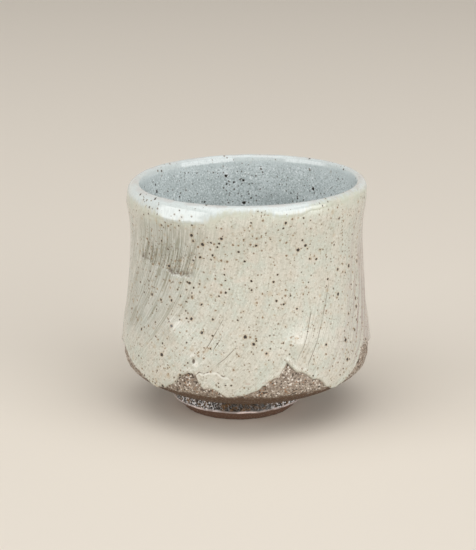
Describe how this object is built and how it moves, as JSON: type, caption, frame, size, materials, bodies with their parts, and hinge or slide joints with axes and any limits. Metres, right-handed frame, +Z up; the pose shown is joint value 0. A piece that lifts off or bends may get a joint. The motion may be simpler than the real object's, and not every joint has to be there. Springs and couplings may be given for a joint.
{
  "type": "tea bowl",
  "caption": "Hand-thrown stoneware tea bowl with a waisted wall, rounded lip, brushed white slip, grey glazed inside and a turned foot",
  "frame": {"origin": "on the table, at the middle of the bowl's box, which is the axis of the thrown wall", "axes": "+Z up out of the bowl's mouth, -Y towards the viewer of the picture, +X to the viewer's right"},
  "size_m": [0.0899, 0.0902, 0.0839],
  "materials": {
    "bare_clay": "grainy unglazed stoneware",
    "brushed_slip": "brushed white slip under clear gloss glaze",
    "rim_glaze": "thick pale gloss glaze",
    "inside_glaze": "grey gloss glaze with iron specks",
    "foot_glaze": "dark brown gloss glaze"
  },
  "bodies": {
    "root": {"clay_body": "bare_clay", "foot": "bare_clay", "slip_coat": "brushed_slip", "rim_glaze": "rim_glaze", "inside_glaze": "inside_glaze", "foot_glaze": "foot_glaze"}
  },
  "joints": []
}
